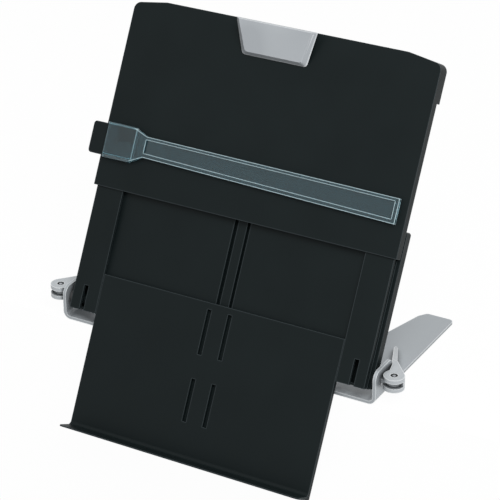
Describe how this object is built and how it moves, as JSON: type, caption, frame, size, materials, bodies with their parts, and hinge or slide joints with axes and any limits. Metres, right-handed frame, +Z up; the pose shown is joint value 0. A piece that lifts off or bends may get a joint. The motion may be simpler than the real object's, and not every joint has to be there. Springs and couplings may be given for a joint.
{
  "type": "copy holder",
  "caption": "Leaning document holder with a telescoping board, sliding lower shelf with a ledge, clear sliding line guide, spring clip at the top, bent strip base and hinged flat feet.",
  "frame": {"origin": "middle of the anti-slip pad's underside, on the desk plane", "axes": "+Z up, +Y away from the reader, +X to the reader's right"},
  "size_m": [0.3588, 0.2358, 0.358],
  "materials": {
    "black_plastic": "fine satin grain",
    "clear_plastic": "clear, polished",
    "silver_paint": "satin silver",
    "clip_silver": "satin light silver",
    "steel": "bright zinc",
    "rubber": "matt",
    "felt": "felt",
    "fibre": "matt"
  },
  "bodies": {
    "base": {"base_bracket": "silver_paint", "strip_pad": "rubber", "left_tilt_pin": "steel", "right_tilt_pin": "steel", "left_hinge_lug": "silver_paint", "right_hinge_lug": "silver_paint", "left_leg_pin": "steel", "right_leg_pin": "steel"},
    "panel": {"rear_frame": "black_plastic", "lower_board": "black_plastic", "shell_screws": "steel", "left_friction_washer": "fibre", "right_friction_washer": "fibre"},
    "upper": {"upper_board": "black_plastic", "clip_base": "steel", "clip_rivets": "steel", "clip_pin": "steel", "clip_spring": "steel"},
    "clip": {"clip_lever": "clip_silver"},
    "guide": {"guide_slider": "black_plastic", "line_guide": "clear_plastic"},
    "shelf": {"document_shelf": "black_plastic", "shelf_brake_pad": "felt"},
    "left_foot": {"left_leg_knuckle": "silver_paint", "left_leg_plate": "silver_paint", "left_leg_rivets": "steel", "left_leg_pad": "rubber"},
    "right_foot": {"right_leg_knuckle": "silver_paint", "right_leg_plate": "silver_paint", "right_leg_rivets": "steel", "right_leg_pad": "rubber"}
  },
  "joints": [
    {"name": "panel_tilt", "type": "hinge", "parent": "base", "child": "panel", "pos_m": [0, -0.0035, 0.019], "axis": [1, 0, 0], "range_deg": [-30, 12]},
    {"name": "upper_slide", "type": "slide", "parent": "panel", "child": "upper", "axis": [0, 0.4602, 0.8878], "range_m": [-0.09, 0]},
    {"name": "clip_press", "type": "hinge", "parent": "upper", "child": "clip", "pos_m": [-0.0025, 0.10109, 0.26271], "axis": [-1, 0, 0], "range_deg": [0, 25], "stiffness_Nm_per_rad": 0.3, "springref_deg": -14.9, "deforming": ["clip_spring"]},
    {"name": "guide_slide", "type": "slide", "parent": "upper", "child": "guide", "axis": [0, 0.4602, 0.8878], "range_m": [-0.015, 0.075]},
    {"name": "shelf_slide", "type": "slide", "parent": "panel", "child": "shelf", "axis": [0, 0.4602, 0.8878], "range_m": [0, 0.085]},
    {"name": "left_foot_swing", "type": "hinge", "parent": "base", "child": "left_foot", "pos_m": [-0.1701, -0.0026, 0.0213], "axis": [0, 0, 1], "range_deg": [0, 90]},
    {"name": "right_foot_swing", "type": "hinge", "parent": "base", "child": "right_foot", "pos_m": [0.1701, -0.0026, 0.0213], "axis": [0, 0, 1], "range_deg": [-90, 0]}
  ]
}
